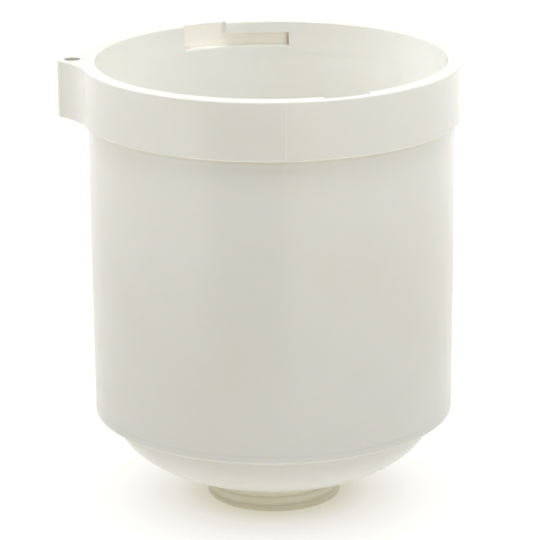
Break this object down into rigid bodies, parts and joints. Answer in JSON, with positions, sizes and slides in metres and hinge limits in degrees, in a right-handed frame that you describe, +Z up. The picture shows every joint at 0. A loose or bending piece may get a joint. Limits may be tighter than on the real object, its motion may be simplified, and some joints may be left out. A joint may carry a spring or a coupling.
{
  "type": "protein skimmer vessel",
  "caption": "Open-topped skimmer vessel with bayonet lock collar, side lug, dished bottom and outlet spigot; a lift-out air diffuser unit and a regulated outlet strainer sit inside.",
  "frame": {"origin": "centre of the outlet spigot's lower edge, on the vessel's axis, where the vessel stands", "axes": "+Z up along the vessel's axis towards the open rim; the collar's lug points to -X"},
  "size_m": [0.1763, 0.1664, 0.199],
  "materials": {
    "ivory_plastic": "smooth glossy injection-moulded ivory plastic",
    "grey_plastic": "fine-textured grey moulded plastic",
    "blue_plastic": "smooth blue moulded plastic",
    "black_rubber": "matt black rubber",
    "steel": "brushed stainless steel",
    "limewood": "raw fine-grained limewood, end grain up",
    "clear_tube": "clear rigid acrylic tube"
  },
  "bodies": {
    "vessel": {"lock_collar": "ivory_plastic", "barrel": "ivory_plastic", "dished_bottom": "ivory_plastic", "outlet_neck": "ivory_plastic", "neck_gasket": "black_rubber", "outlet_strainer": "grey_plastic", "strainer_cap": "grey_plastic", "cap_screw": "steel"},
    "regulator": {"regulating_sleeve": "blue_plastic"},
    "diffuser_unit": {"baffle_plate": "grey_plastic", "manifold_base": "blue_plastic", "manifold_cover": "blue_plastic", "manifold_screws": "steel", "diffuser_blocks": "limewood", "block_seals": "black_rubber", "air_elbow": "blue_plastic", "air_tube": "clear_tube", "tap_body": "ivory_plastic", "hose_barb": "ivory_plastic", "bail_brackets": "grey_plastic", "bracket_screws": "steel"},
    "tap": {"tap_plug": "blue_plastic"},
    "bail": {"lift_bail": "steel", "bail_grip": "blue_plastic"}
  },
  "joints": [
    {"name": "sleeve_turn", "type": "hinge", "parent": "vessel", "child": "regulator", "pos_m": [0, 0, 0.034], "axis": [0, 0, 1], "range_deg": [0, 30]},
    {"name": "insert_lift", "type": "slide", "parent": "vessel", "child": "diffuser_unit", "axis": [0, 0, 1], "range_m": [0, 0.15]},
    {"name": "tap_turn", "type": "hinge", "parent": "diffuser_unit", "child": "tap", "pos_m": [0, -0.067, 0.126], "axis": [-1, 0, 0], "range_deg": [0, 90]},
    {"name": "bail_swing", "type": "hinge", "parent": "diffuser_unit", "child": "bail", "pos_m": [0, 0, 0.065], "axis": [1, 0, 0], "range_deg": [0, 90]}
  ]
}
